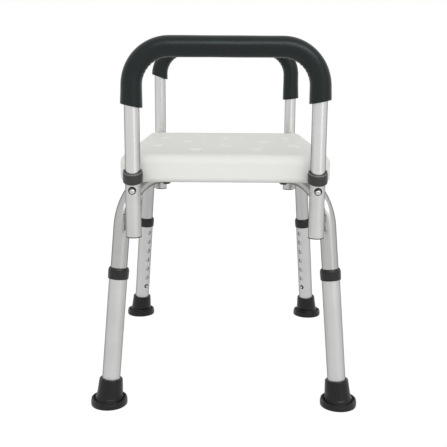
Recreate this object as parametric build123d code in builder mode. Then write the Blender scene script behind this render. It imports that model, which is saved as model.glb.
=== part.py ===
from build123d import *
import os
from math import cos, radians, sin, sqrt, tan

# Shower stool with lift-off arms and telescoping legs. Millimetres, +Z up from the floor,
# +X the way the sitter faces, +Y to the sitter's left, origin on the floor under the seat's middle.

# Seat: a hollow moulded slab with drain holes
SEAT_DEPTH = 314.0
SEAT_WIDTH = 440.0
SEAT_TOP = 390.7
SEAT_THICKNESS = 41.7
SEAT_WALL = 3.0
SEAT_CORNER_RADIUS = 20.0
SEAT_TOP_EDGE_RADIUS = 14.0
SEAT_BOTTOM_EDGE_RADIUS = 8.0
DRAIN_DIAMETER = 8.0
DRAIN_BEVEL_DIAMETER = 13.0
DRAIN_PLACES = [(47.0, 138.0), (0.0, 78.0), (113.0, 78.0), (66.0, 0.0)]

# Frame: two diagonal tubes that cross under the seat and bend down into the legs
FRAME_TUBE_DIAMETER = 25.4
FRAME_TUBE_WALL = 1.3
FRAME_TUBE_RISE = 12.0
FRAME_BEND_RADIUS = 79.0
DIAGONAL_ANGLE = 51.1
LEG_SPLAY = 7.0
FOOT_REACH = 285.4
WELD_GAP = 0.1

# Bolts that hold the seat on the tubes
BOLT_DIAMETER = 6.0
BOLT_HEAD_DIAMETER = 11.0
BOLT_HEAD_HEIGHT = 2.0
BOLT_HEAD_EDGE = 0.8
BOLT_KEY_WIDTH = 4.0
BOLT_KEY_DEPTH = 1.2
BOLT_INNER_REACH = 62.0
BOLT_BEFORE_BEND = 21.7
SADDLE_DIAMETER = 15.0
SADDLE_THICKNESS = 0.8
SADDLE_RISE = 1.4
INSERT_DIAMETER = 9.0
INSERT_LENGTH = 14.0

# Leg extensions, which slide over the frame's legs
LEG_TUBE_WALL = 1.0
LEG_COLLAR_DIAMETER = 32.2
LEG_COLLAR_LENGTH = 17.6
LEG_COLLAR_BOTTOM = 197.3
LEG_COLLAR_LIP = 3.0
LEG_COLLAR_EDGE = 1.2
LEG_BUTTON_DIAMETER = 8.0
LEG_BUTTON_HEIGHT = 66.5
LEG_HOLE_PITCH = 20.0
LEG_HOLE_COUNT = 7
LEG_END_BELOW_BUTTON = 26.0

# Feet
FOOT_FLANGE_DIAMETER = 56.5
FOOT_RIM_HEIGHT = 9.5
FOOT_GROOVE_DEPTH = 1.3
FOOT_GROOVE_WIDTH = 2.0
FOOT_SHOULDER_HEIGHT = 16.0
FOOT_SLEEVE_BASE_DIAMETER = 39.6
FOOT_SLEEVE_TOP_DIAMETER = 36.2
FOOT_SLEEVE_TOP = 40.7
FOOT_LIP_RADIUS = 1.6
FOOT_SOLE = 7.0
FOOT_TREAD_DEPTH = 1.2
FOOT_TREAD_WIDTH = 3.0
FOOT_TREAD_RADII = [9.0, 18.0]
FOOT_WASHER_THICKNESS = 1.6

# Arms, which lift out of sockets beside the seat. A stub tube pressed into each lower end goes into the
# socket; it has two button holes, so that the arm stands low or one step higher. A grip's end is its height on
# the arm's axis and the slant of its cut in degrees.
ARM_TUBE_DIAMETER = 22.0
ARM_TUBE_WALL = 1.4
ARM_STUB_WALL = 1.2
ARM_STUB_GRASP = 22.0
ARM_HALF_SPAN = 134.4
ARM_OFFSET = 236.9
ARM_TOP = 545.5
ARM_BEND_RADIUS = 54.5
ARM_BUTTON_DIAMETER = 8.2
ARM_BUTTON_HEIGHT = 340.0
ARM_STUB_BELOW_BUTTON = 34.0
ARM_HOLE_PITCH = 16.5
ARM_HOLE_COUNT = 2
ARM_STEPS_UP = {"right": 0, "left": 1}
GRIP_DIAMETER = 30.4
GRIP_ENDS = {
    "right": {"rear": (462.0, 11.0), "front": (469.0, 11.0)},
    "left": {"rear": (502.0, 18.0), "front": (459.0, 6.0)},
}

# Sockets that take the arms, their collars, and the webs that join them to the legs. A socket's hole has extra
# room above the button, so that the button finds it easily.
SOCKET_WALL = 1.6
SOCKET_ABOVE_BUTTON = 21.0
SOCKET_BELOW_SEAT = 77.6
SOCKET_HOLE_RISE = 1.3
SOCKET_COLLAR_DIAMETER = 29.2
SOCKET_COLLAR_OVERLAP = 12.0
SOCKET_COLLAR_HEIGHT = 17.0
SOCKET_COLLAR_SCOOP = 5.0
WEB_THICKNESS = 4.0
WEB_ABOVE_SOCKET_END = 3.6
WEB_HEIGHT = 24.0

# Snap buttons and the hairpin springs behind them
BUTTON_HOLE_ROOM = 0.5
BUTTON_FLANGE_RIM = 1.2
BUTTON_FLANGE_THICKNESS = 1.2
BUTTON_STAND_OUT = 1.8
BUTTON_DOME = 2.6
CLIP_THICKNESS = 0.6
CLIP_WIDTH = 8.0
CLIP_ABOVE_BUTTON = 6.0
CLIP_BELOW_BUTTON = 10.0

# Room between pieces: fixed ones, and ones that slide
SEAT_CLEARANCE = 0.3
FIXED_CLEARANCE = 0.05
SLIDING_CLEARANCE = 0.3

CORNERS = {
    "front_right": (1, -1),
    "front_left": (1, 1),
    "rear_right": (-1, -1),
    "rear_left": (-1, 1),
}
SIDES = {"right": -1, "left": 1}
ENDS = {"front": 1, "rear": -1}

# Sizes that follow from the ones above
SEAT_BOTTOM = SEAT_TOP - SEAT_THICKNESS
FRAME_RADIUS = FRAME_TUBE_DIAMETER / 2
FRAME_BORE_RADIUS = FRAME_RADIUS - FRAME_TUBE_WALL
FRAME_HEIGHT = SEAT_BOTTOM + FRAME_TUBE_RISE - FRAME_RADIUS
CHANNEL_RADIUS = FRAME_RADIUS + SEAT_CLEARANCE
LEG_BORE_RADIUS = FRAME_RADIUS + SLIDING_CLEARANCE
LEG_RADIUS = LEG_BORE_RADIUS + LEG_TUBE_WALL
ARM_RADIUS = ARM_TUBE_DIAMETER / 2
ARM_BORE_RADIUS = ARM_RADIUS - ARM_TUBE_WALL
ARM_STUB_RADIUS = ARM_BORE_RADIUS - FIXED_CLEARANCE
ARM_STUB_BORE_RADIUS = ARM_STUB_RADIUS - ARM_STUB_WALL
ARM_STUB_LOW = ARM_BUTTON_HEIGHT - ARM_STUB_BELOW_BUTTON
SOCKET_BORE_RADIUS = ARM_STUB_RADIUS + SLIDING_CLEARANCE
SOCKET_RADIUS = SOCKET_BORE_RADIUS + SOCKET_WALL
SOCKET_TOP = ARM_BUTTON_HEIGHT + SOCKET_ABOVE_BUTTON
ARM_LOWER_END = SOCKET_TOP + FIXED_CLEARANCE
SOCKET_BOTTOM = SEAT_BOTTOM - SOCKET_BELOW_SEAT
SOCKET_COLLAR_BOTTOM = SOCKET_TOP - SOCKET_COLLAR_OVERLAP
WEB_BOTTOM = SOCKET_BOTTOM + WEB_ABOVE_SOCKET_END
LEG_TILT = radians(LEG_SPLAY)
LEG_BUTTON_RADIUS = LEG_BUTTON_DIAMETER / 2
LEG_HOLE_RADIUS = LEG_BUTTON_RADIUS + BUTTON_HOLE_ROOM
ARM_BUTTON_RADIUS = ARM_BUTTON_DIAMETER / 2
ARM_HOLE_RADIUS = ARM_BUTTON_RADIUS + BUTTON_HOLE_ROOM
SOCKET_HOLE_RADIUS = ARM_HOLE_RADIUS + SOCKET_HOLE_RISE
BOLT_RADIUS = BOLT_DIAMETER / 2
INSERT_HOLE_RADIUS = INSERT_DIAMETER / 2 + FIXED_CLEARANCE
CHANNEL_TOP = FRAME_HEIGHT + CHANNEL_RADIUS
SADDLE_BOTTOM = FRAME_HEIGHT - FRAME_RADIUS - SADDLE_THICKNESS
FOOT_WASHER_LOW = FOOT_SOLE
LEG_TUBE_LOW = FOOT_WASHER_LOW + (FOOT_WASHER_THICKNESS + FIXED_CLEARANCE) * cos(LEG_TILT)


def diagonal(corner):
    """Level direction from the stool's middle towards a corner."""
    forward, sideways = CORNERS[corner]
    angle = radians(DIAGONAL_ANGLE)
    return Vector(forward * cos(angle), sideways * sin(angle), 0)


def leg_reach(height):
    """Distance of a leg's axis from the stool's middle at a height."""
    return FOOT_REACH - height * tan(LEG_TILT)


def leg_plane(corner):
    """Upright plane of a corner's leg: local x runs outwards, local y runs up."""
    outward = diagonal(corner)
    return Plane(origin=(0, 0, 0), x_dir=outward, z_dir=outward.cross(Vector(0, 0, 1)))


def leg_station(corner, height):
    """Plane across a leg at a height: its normal points up the leg, local x faces the stool's middle."""
    outward = diagonal(corner)
    upward = Vector(0, 0, cos(LEG_TILT)) - outward * sin(LEG_TILT)
    inward = outward * -cos(LEG_TILT) - Vector(0, 0, sin(LEG_TILT))
    return Plane(
        origin=outward * leg_reach(height) + Vector(0, 0, height),
        x_dir=inward,
        z_dir=upward,
    )


def along_leg(rise):
    """Length along a leg for a rise in height."""
    return rise / cos(LEG_TILT)


def half_diagonal(low_height):
    """Local points of a half diagonal: the middle, the corner over the leg, and a point down the leg."""
    return [
        (0, FRAME_HEIGHT),
        (leg_reach(FRAME_HEIGHT), FRAME_HEIGHT),
        (leg_reach(low_height), low_height),
    ]


def whole_diagonal(low_height):
    """Local points of a whole diagonal, from down one leg to down the opposite one."""
    outer = half_diagonal(low_height)[1:]
    return [(-x, y) for x, y in reversed(outer)] + outer


def start_of(route):
    """Plane across the start of a route."""
    return Plane(origin=route.line @ 0, z_dir=route.line % 0)


def keep(builder, label):
    """Name a finished piece and write it."""
    builder.part.label = label
    export_step(builder.part, f"parts/{label}.step")


os.makedirs("parts", exist_ok=True)

FRAME_LEG_END = LEG_BUTTON_HEIGHT - LEG_END_BELOW_BUTTON * cos(LEG_TILT)
CHANNEL_END = FRAME_HEIGHT - FRAME_BEND_RADIUS - FRAME_RADIUS
DRAIN_CENTRES = sorted({
    (forward * x, sideways * y) for x, y in DRAIN_PLACES for forward in (1, -1) for sideways in (1, -1)
})
BEND_START = leg_reach(FRAME_HEIGHT) - FRAME_BEND_RADIUS * tan(radians(90 - LEG_SPLAY) / 2)
BOLT_REACHES = [BOLT_INNER_REACH, BEND_START - BOLT_BEFORE_BEND]
BOLT_CENTRES = [diagonal(corner) * reach for corner in CORNERS for reach in BOLT_REACHES]

# Hollow inside the seat, with solid posts left round the drains, the bolts and the tube channels
with BuildPart() as seat_hollow:
    with BuildSketch(Plane.XY.offset(SEAT_BOTTOM + SEAT_WALL)):
        RectangleRounded(
            SEAT_DEPTH - 2 * SEAT_WALL, SEAT_WIDTH - 2 * SEAT_WALL, SEAT_CORNER_RADIUS - SEAT_WALL
        )
    extrude(amount=SEAT_THICKNESS - 2 * SEAT_WALL)
    fillet(edges().group_by(Axis.Z)[-1], SEAT_TOP_EDGE_RADIUS - SEAT_WALL)
    fillet(edges().group_by(Axis.Z)[0], SEAT_BOTTOM_EDGE_RADIUS - SEAT_WALL)
    for corner in ("front_right", "front_left"):
        with BuildLine(leg_plane(corner)) as route:
            FilletPolyline(*whole_diagonal(CHANNEL_END), radius=FRAME_BEND_RADIUS)
        with BuildSketch(start_of(route)):
            Circle(CHANNEL_RADIUS + SEAT_WALL)
        sweep(mode=Mode.SUBTRACT)
    with BuildSketch(Plane.XY.offset(SEAT_BOTTOM)):
        with Locations(*DRAIN_CENTRES):
            Circle(DRAIN_BEVEL_DIAMETER / 2 + SEAT_WALL)
        with Locations(*BOLT_CENTRES):
            Circle(INSERT_HOLE_RADIUS + SEAT_WALL)
    extrude(amount=SEAT_THICKNESS, mode=Mode.SUBTRACT)

with BuildPart() as seat:
    with BuildSketch(Plane.XY.offset(SEAT_BOTTOM)):
        RectangleRounded(SEAT_DEPTH, SEAT_WIDTH, SEAT_CORNER_RADIUS)
    extrude(amount=SEAT_THICKNESS)
    fillet(edges().group_by(Axis.Z)[-1], SEAT_TOP_EDGE_RADIUS)
    fillet(edges().group_by(Axis.Z)[0], SEAT_BOTTOM_EDGE_RADIUS)
    add(seat_hollow.part, mode=Mode.SUBTRACT)
    for corner in ("front_right", "front_left"):
        with BuildLine(leg_plane(corner)) as route:
            FilletPolyline(*whole_diagonal(CHANNEL_END), radius=FRAME_BEND_RADIUS)
        with BuildSketch(start_of(route)):
            Circle(CHANNEL_RADIUS)
        sweep(mode=Mode.SUBTRACT)
    with Locations(*[(x, y, SEAT_TOP) for x, y in DRAIN_CENTRES]):
        CounterSinkHole(DRAIN_DIAMETER / 2, DRAIN_BEVEL_DIAMETER / 2, SEAT_THICKNESS)
    with BuildSketch(Plane.XY.offset(FRAME_HEIGHT)):
        with Locations(*BOLT_CENTRES):
            Circle(INSERT_HOLE_RADIUS)
    extrude(amount=CHANNEL_RADIUS + INSERT_LENGTH, mode=Mode.SUBTRACT)
keep(seat, "seat")


def frame_holes(corners):
    """Solid to cut from a frame tube: its bolt holes, and the button hole low on each leg's inner side."""
    with BuildPart() as holes:
        with BuildSketch(Plane.XY.offset(FRAME_HEIGHT - FRAME_TUBE_DIAMETER)):
            with Locations(*[diagonal(corner) * reach for corner in corners for reach in BOLT_REACHES]):
                Circle(BOLT_RADIUS + SLIDING_CLEARANCE)
        extrude(amount=2 * FRAME_TUBE_DIAMETER)
        for corner in corners:
            station = leg_station(corner, LEG_BUTTON_HEIGHT)
            with BuildSketch(Plane(origin=station.origin, z_dir=station.x_dir)):
                Circle(LEG_HOLE_RADIUS)
            extrude(amount=FRAME_TUBE_DIAMETER)
    return holes.part


# The long frame tube runs in one piece from the front right leg to the rear left leg
with BuildPart() as frame_tube:
    with BuildLine(leg_plane("front_right")) as route:
        FilletPolyline(*whole_diagonal(FRAME_LEG_END), radius=FRAME_BEND_RADIUS)
    with BuildSketch(start_of(route)):
        Circle(FRAME_RADIUS)
        Circle(FRAME_BORE_RADIUS, mode=Mode.SUBTRACT)
    sweep()
    add(frame_holes(["front_right", "rear_left"]), mode=Mode.SUBTRACT)
keep(frame_tube, "frame_tube_long")

# The other diagonal is two half tubes, shaped to the long tube's side and welded to it
for corner in ("front_left", "rear_right"):
    with BuildPart() as frame_half:
        with BuildLine(leg_plane(corner)) as route:
            FilletPolyline(*half_diagonal(FRAME_LEG_END), radius=FRAME_BEND_RADIUS)
        with BuildSketch(start_of(route)):
            Circle(FRAME_RADIUS)
            Circle(FRAME_BORE_RADIUS, mode=Mode.SUBTRACT)
        sweep()
        with BuildSketch(Plane(origin=(0, 0, FRAME_HEIGHT), z_dir=diagonal("front_right"))):
            Circle(FRAME_RADIUS + WELD_GAP)
        extrude(amount=2 * FRAME_TUBE_DIAMETER, both=True, mode=Mode.SUBTRACT)
        add(frame_holes([corner]), mode=Mode.SUBTRACT)
    keep(frame_half, f"frame_tube_{corner}")

# Saddle washers under the tubes, bolts up through the tubes, and threaded inserts in the seat
with BuildPart() as saddles:
    with BuildSketch(Plane.XY.offset(SADDLE_BOTTOM)):
        with Locations(*BOLT_CENTRES):
            Circle(SADDLE_DIAMETER / 2)
            Circle(BOLT_RADIUS + SLIDING_CLEARANCE, mode=Mode.SUBTRACT)
    extrude(amount=SADDLE_THICKNESS + SADDLE_RISE)
    for corner in ("front_right", "front_left"):
        with BuildSketch(Plane(origin=(0, 0, FRAME_HEIGHT), z_dir=diagonal(corner))):
            Circle(FRAME_RADIUS + FIXED_CLEARANCE)
        extrude(amount=FOOT_REACH, both=True, mode=Mode.SUBTRACT)
keep(saddles, "saddle_washers")

BOLT_HEAD_TOP = SADDLE_BOTTOM - FIXED_CLEARANCE
BOLT_TIP = CHANNEL_TOP + INSERT_LENGTH - BOLT_RADIUS
with BuildPart() as bolts:
    with BuildSketch(Plane.XY.offset(BOLT_HEAD_TOP - BOLT_HEAD_HEIGHT)):
        with Locations(*BOLT_CENTRES):
            Circle(BOLT_HEAD_DIAMETER / 2)
    extrude(amount=BOLT_HEAD_HEIGHT)
    fillet(edges().group_by(Axis.Z)[0], BOLT_HEAD_EDGE)
    with BuildSketch(Plane.XY.offset(BOLT_HEAD_TOP)):
        with Locations(*BOLT_CENTRES):
            Circle(BOLT_RADIUS)
    extrude(amount=BOLT_TIP - BOLT_HEAD_TOP)
    with BuildSketch(Plane.XY.offset(BOLT_HEAD_TOP - BOLT_HEAD_HEIGHT)):
        with Locations(*BOLT_CENTRES):
            RegularPolygon(BOLT_KEY_WIDTH / 2, 6, major_radius=False)
    extrude(amount=BOLT_KEY_DEPTH, mode=Mode.SUBTRACT)
keep(bolts, "seat_bolts")

with BuildPart() as inserts:
    with BuildSketch(Plane.XY.offset(CHANNEL_TOP + FIXED_CLEARANCE)):
        with Locations(*BOLT_CENTRES):
            Circle(INSERT_DIAMETER / 2)
            Circle(BOLT_RADIUS + FIXED_CLEARANCE, mode=Mode.SUBTRACT)
    extrude(amount=INSERT_LENGTH - 2 * FIXED_CLEARANCE)
keep(inserts, "seat_inserts")


def snap_button(station, outward, pin_radius, bore_radius, wall_radius):
    """Button on a tube's side: a flange inside the bore, a pin, and a domed end past the outer wall."""
    flange_radius = pin_radius + BUTTON_FLANGE_RIM
    flange_top = sqrt(bore_radius**2 - flange_radius**2) - SLIDING_CLEARANCE
    flange_low = flange_top - BUTTON_FLANGE_THICKNESS
    tip = wall_radius + BUTTON_STAND_OUT
    base = Plane(origin=station.origin + outward * flange_low, z_dir=outward)
    with BuildPart() as button:
        with BuildSketch(base):
            Circle(flange_radius)
        extrude(amount=BUTTON_FLANGE_THICKNESS)
        with BuildSketch(base):
            Circle(pin_radius)
        extrude(amount=tip - flange_low)
        fillet(edges().sort_by(Axis(station.origin, outward))[-1], BUTTON_DOME)
    return button


def snap_clip(station, outward, pin_radius, bore_radius):
    """Hairpin leaf spring in a tube's bore: one leaf under the button, the other on the far wall."""
    flange_top = sqrt(bore_radius**2 - (pin_radius + BUTTON_FLANGE_RIM) ** 2) - SLIDING_CLEARANCE
    near = flange_top - BUTTON_FLANGE_THICKNESS - FIXED_CLEARANCE
    far = FIXED_CLEARANCE - sqrt(bore_radius**2 - (CLIP_WIDTH / 2) ** 2)
    middle = (near + far) / 2
    bow = (near - far) / 2
    low = -CLIP_BELOW_BUTTON
    high = CLIP_ABOVE_BUTTON
    upward = station.z_dir
    with BuildPart() as clip:
        with BuildSketch(Plane(origin=station.origin, x_dir=outward, z_dir=outward.cross(upward))):
            with BuildLine():
                Line((near, high), (near, low))
                ThreePointArc((near, low), (middle, low - bow), (far, low))
                Line((far, low), (far, high))
                Line((far, high), (far + CLIP_THICKNESS, high))
                Line((far + CLIP_THICKNESS, high), (far + CLIP_THICKNESS, low))
                ThreePointArc(
                    (far + CLIP_THICKNESS, low),
                    (middle, low - bow + CLIP_THICKNESS),
                    (near - CLIP_THICKNESS, low),
                )
                Line((near - CLIP_THICKNESS, low), (near - CLIP_THICKNESS, high))
                Line((near - CLIP_THICKNESS, high), (near, high))
            make_face()
        extrude(amount=CLIP_WIDTH / 2, both=True)
    return clip


for corner in CORNERS:
    button_station = leg_station(corner, LEG_BUTTON_HEIGHT)
    inward = button_station.x_dir

    # Leg extension: a tube with a row of holes for the button on its inner side
    leg_top = LEG_COLLAR_BOTTOM + (LEG_COLLAR_LENGTH - LEG_COLLAR_LIP) * cos(LEG_TILT)
    with BuildPart() as leg_tube:
        with BuildSketch(leg_station(corner, LEG_TUBE_LOW)):
            Circle(LEG_RADIUS)
            Circle(LEG_BORE_RADIUS, mode=Mode.SUBTRACT)
        extrude(amount=along_leg(leg_top - LEG_TUBE_LOW) - FIXED_CLEARANCE)
        row = Plane(origin=button_station.origin, x_dir=button_station.z_dir, z_dir=inward)
        with BuildSketch(row):
            with Locations(*[(hole * LEG_HOLE_PITCH, 0) for hole in range(LEG_HOLE_COUNT)]):
                Circle(LEG_HOLE_RADIUS)
        extrude(amount=2 * LEG_RADIUS, mode=Mode.SUBTRACT)
    keep(leg_tube, f"leg_tube_{corner}")

    # Collar pressed on the extension's upper end, with a lip that guides the frame's leg
    with BuildPart() as leg_collar:
        with BuildSketch(leg_station(corner, LEG_COLLAR_BOTTOM)):
            Circle(LEG_COLLAR_DIAMETER / 2)
        extrude(amount=LEG_COLLAR_LENGTH)
        fillet(edges(), LEG_COLLAR_EDGE)
        with BuildSketch(leg_station(corner, LEG_COLLAR_BOTTOM)):
            Circle(LEG_RADIUS + FIXED_CLEARANCE)
        extrude(amount=LEG_COLLAR_LENGTH - LEG_COLLAR_LIP, mode=Mode.SUBTRACT)
        with BuildSketch(leg_station(corner, LEG_COLLAR_BOTTOM)):
            Circle(LEG_BORE_RADIUS)
        extrude(amount=LEG_COLLAR_LENGTH, mode=Mode.SUBTRACT)
    keep(leg_collar, f"leg_collar_{corner}")

    # Rubber foot: a flat flange on the floor and a sleeve up the leg
    foot_centre = diagonal(corner) * FOOT_REACH
    flange_radius = FOOT_FLANGE_DIAMETER / 2
    groove_low = FOOT_RIM_HEIGHT / 2 - FOOT_GROOVE_WIDTH / 2
    sleeve_low = FOOT_SOLE
    sleeve_length = along_leg(FOOT_SLEEVE_TOP - sleeve_low)
    with BuildPart() as foot:
        with BuildSketch(Plane(origin=foot_centre, x_dir=(1, 0, 0), z_dir=(0, -1, 0))):
            with BuildLine():
                Polyline(
                    (0, 0),
                    (flange_radius, 0),
                    (flange_radius, groove_low),
                    (flange_radius - FOOT_GROOVE_DEPTH, groove_low),
                    (flange_radius - FOOT_GROOVE_DEPTH, groove_low + FOOT_GROOVE_WIDTH),
                    (flange_radius, groove_low + FOOT_GROOVE_WIDTH),
                    (flange_radius, FOOT_RIM_HEIGHT),
                    (FOOT_SLEEVE_BASE_DIAMETER / 2, FOOT_SHOULDER_HEIGHT),
                    (0, FOOT_SHOULDER_HEIGHT),
                    close=True,
                )
            make_face()
        revolve(axis=Axis(foot_centre, (0, 0, 1)))
        with BuildSketch(leg_station(corner, sleeve_low)):
            Circle(FOOT_SLEEVE_BASE_DIAMETER / 2)
        with BuildSketch(leg_station(corner, FOOT_SLEEVE_TOP)):
            Circle(FOOT_SLEEVE_TOP_DIAMETER / 2)
        loft()
        fillet(edges().filter_by(GeomType.CIRCLE).sort_by(Axis.Z)[-1], FOOT_LIP_RADIUS)
        with BuildSketch(leg_station(corner, FOOT_WASHER_LOW - FIXED_CLEARANCE)):
            Circle(LEG_RADIUS + FIXED_CLEARANCE)
        extrude(amount=sleeve_length + FOOT_SOLE, mode=Mode.SUBTRACT)
        with BuildSketch(Plane(origin=foot_centre)):
            for ring in FOOT_TREAD_RADII:
                Circle(ring + FOOT_TREAD_WIDTH / 2)
                Circle(ring - FOOT_TREAD_WIDTH / 2, mode=Mode.SUBTRACT)
        extrude(amount=FOOT_TREAD_DEPTH, mode=Mode.SUBTRACT)
    keep(foot, f"foot_{corner}")

    # Steel washer in the foot, which keeps the tube's end from cutting through the rubber
    with BuildPart() as foot_washer:
        with BuildSketch(leg_station(corner, FOOT_WASHER_LOW)):
            Circle(LEG_RADIUS)
        extrude(amount=FOOT_WASHER_THICKNESS)
    keep(foot_washer, f"foot_washer_{corner}")

    # Snap button low in the frame's leg, and the hairpin spring behind it
    leg_button = snap_button(button_station, inward, LEG_BUTTON_RADIUS, FRAME_BORE_RADIUS, LEG_RADIUS)
    keep(leg_button, f"leg_button_{corner}")
    leg_clip = snap_clip(button_station, inward, LEG_BUTTON_RADIUS, FRAME_BORE_RADIUS)
    keep(leg_clip, f"leg_clip_{corner}")

for side, sideways in SIDES.items():
    arm_plane = Plane(origin=(0, sideways * ARM_OFFSET, 0), x_dir=(1, 0, 0), z_dir=(0, -1, 0))
    outward = Vector(0, sideways, 0)
    arm_rise = ARM_STEPS_UP[side] * ARM_HOLE_PITCH
    arm_points = [
        (-ARM_HALF_SPAN, ARM_LOWER_END + arm_rise),
        (-ARM_HALF_SPAN, ARM_TOP + arm_rise),
        (ARM_HALF_SPAN, ARM_TOP + arm_rise),
        (ARM_HALF_SPAN, ARM_LOWER_END + arm_rise),
    ]

    # Arm: one tube bent to an upside-down U, whose lower ends stand on the sockets
    with BuildPart() as arm_tube:
        with BuildLine(arm_plane) as route:
            FilletPolyline(*arm_points, radius=ARM_BEND_RADIUS)
        with BuildSketch(start_of(route)):
            Circle(ARM_RADIUS)
            Circle(ARM_BORE_RADIUS, mode=Mode.SUBTRACT)
        sweep()
    keep(arm_tube, f"arm_tube_{side}")

    # Foam sleeve over the arm's upper run and bends, its ends cut a little higher on the outer side
    with BuildPart() as grip:
        with BuildLine(arm_plane):
            FilletPolyline(*arm_points, radius=ARM_BEND_RADIUS)
        with BuildSketch(start_of(route)):
            Circle(GRIP_DIAMETER / 2)
            Circle(ARM_RADIUS + FIXED_CLEARANCE, mode=Mode.SUBTRACT)
        sweep()
        for end, forward in ENDS.items():
            cut_height, slant = GRIP_ENDS[side][end]
            slope = tan(radians(slant)) * GRIP_DIAMETER
            inner = forward * (ARM_HALF_SPAN - GRIP_DIAMETER)
            outer = forward * (ARM_HALF_SPAN + GRIP_DIAMETER)
            below = ARM_LOWER_END - GRIP_DIAMETER
            with BuildSketch(arm_plane):
                Polygon(
                    (inner, below), (outer, below), (outer, cut_height + slope), (inner, cut_height - slope),
                    align=None,
                )
            extrude(amount=GRIP_DIAMETER, both=True, mode=Mode.SUBTRACT)
    keep(grip, f"grip_{side}")

    for end, forward in ENDS.items():
        corner = f"{end}_{side}"
        socket_axis = Vector(forward * ARM_HALF_SPAN, sideways * ARM_OFFSET, 0)
        leg_axis = diagonal(corner) * leg_reach(WEB_BOTTOM + WEB_HEIGHT / 2)

        # Socket tube that takes the arm's lower end
        with BuildPart() as socket:
            with BuildSketch(Plane(origin=socket_axis + Vector(0, 0, SOCKET_BOTTOM))):
                Circle(SOCKET_RADIUS)
                Circle(SOCKET_BORE_RADIUS, mode=Mode.SUBTRACT)
            extrude(amount=SOCKET_TOP - SOCKET_BOTTOM)
            hole_centre = socket_axis + Vector(0, 0, ARM_BUTTON_HEIGHT + SOCKET_HOLE_RISE)
            with BuildSketch(Plane(origin=hole_centre, z_dir=outward)):
                Circle(SOCKET_HOLE_RADIUS)
            extrude(amount=2 * SOCKET_RADIUS, mode=Mode.SUBTRACT)
        keep(socket, f"arm_socket_{corner}")

        # Plastic stub tube pressed into the arm's lower end, with the holes for the button
        stub_low = socket_axis + Vector(0, 0, ARM_STUB_LOW + arm_rise)
        top_hole = socket_axis + Vector(0, 0, ARM_BUTTON_HEIGHT + arm_rise)
        with BuildPart() as stub:
            with BuildSketch(Plane(origin=stub_low)):
                Circle(ARM_STUB_RADIUS)
                Circle(ARM_STUB_BORE_RADIUS, mode=Mode.SUBTRACT)
            extrude(amount=ARM_LOWER_END + ARM_STUB_GRASP - ARM_STUB_LOW)
            with BuildSketch(Plane(origin=top_hole, x_dir=(0, 0, -1), z_dir=outward)):
                with Locations(*[(hole * ARM_HOLE_PITCH, 0) for hole in range(ARM_HOLE_COUNT)]):
                    Circle(ARM_HOLE_RADIUS)
            extrude(amount=ARM_TUBE_DIAMETER, mode=Mode.SUBTRACT)
        keep(stub, f"arm_stub_{corner}")

        # Collar on the socket's upper end, with scooped edges and a lip that guides the arm
        collar_radius = SOCKET_COLLAR_DIAMETER / 2
        collar_top = SOCKET_COLLAR_BOTTOM + SOCKET_COLLAR_HEIGHT
        with BuildPart() as collar:
            with BuildSketch(Plane(origin=socket_axis + Vector(0, 0, SOCKET_COLLAR_BOTTOM))):
                Circle(collar_radius)
            extrude(amount=SOCKET_COLLAR_HEIGHT + SOCKET_COLLAR_SCOOP)
            with BuildSketch(Plane(origin=socket_axis, x_dir=(1, 0, 0), z_dir=(0, -1, 0))):
                with BuildLine():
                    for height in (SOCKET_COLLAR_BOTTOM, collar_top):
                        ThreePointArc(
                            (-collar_radius, height + SOCKET_COLLAR_SCOOP),
                            (0, height),
                            (collar_radius, height + SOCKET_COLLAR_SCOOP),
                        )
                    for reach in (-collar_radius, collar_radius):
                        Line(
                            (reach, SOCKET_COLLAR_BOTTOM + SOCKET_COLLAR_SCOOP),
                            (reach, collar_top + SOCKET_COLLAR_SCOOP),
                        )
                make_face()
            extrude(amount=SOCKET_COLLAR_DIAMETER, both=True, mode=Mode.INTERSECT)
            with BuildSketch(Plane(origin=socket_axis)):
                Circle(SOCKET_RADIUS + FIXED_CLEARANCE)
            extrude(amount=SOCKET_TOP + FIXED_CLEARANCE, mode=Mode.SUBTRACT)
            with BuildSketch(Plane(origin=socket_axis)):
                Circle(ARM_RADIUS + SLIDING_CLEARANCE)
            extrude(amount=ARM_TOP, mode=Mode.SUBTRACT)
        keep(collar, f"socket_collar_{corner}")

        # Upright web between the socket and the leg, cut to both tubes and welded to them
        with BuildPart() as web:
            across = leg_axis - socket_axis
            web_foot = socket_axis + Vector(0, 0, WEB_BOTTOM)
            with BuildSketch(Plane(origin=web_foot, x_dir=across, z_dir=(0, 0, 1))):
                Rectangle(across.length, WEB_THICKNESS, align=(Align.MIN, Align.CENTER))
            extrude(amount=WEB_HEIGHT)
            with BuildSketch(Plane(origin=socket_axis)):
                Circle(SOCKET_RADIUS + FIXED_CLEARANCE)
            extrude(amount=SEAT_TOP, mode=Mode.SUBTRACT)
            with BuildLine(leg_plane(corner)) as route:
                FilletPolyline(*half_diagonal(FRAME_LEG_END), radius=FRAME_BEND_RADIUS)
            with BuildSketch(start_of(route)):
                Circle(FRAME_RADIUS + FIXED_CLEARANCE)
            sweep(mode=Mode.SUBTRACT)
        keep(web, f"socket_web_{corner}")

        # Snap button in the stub, and the hairpin spring behind it
        button_station = Plane(
            origin=socket_axis + Vector(0, 0, ARM_BUTTON_HEIGHT), x_dir=outward, z_dir=(0, 0, 1)
        )
        arm_button = snap_button(
            button_station, outward, ARM_BUTTON_RADIUS, ARM_STUB_BORE_RADIUS, SOCKET_RADIUS
        )
        keep(arm_button, f"arm_button_{corner}")
        arm_clip = snap_clip(button_station, outward, ARM_BUTTON_RADIUS, ARM_STUB_BORE_RADIUS)
        keep(arm_clip, f"arm_clip_{corner}")
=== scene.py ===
import math
import bpy
import numpy as np
from mathutils import Matrix


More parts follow.
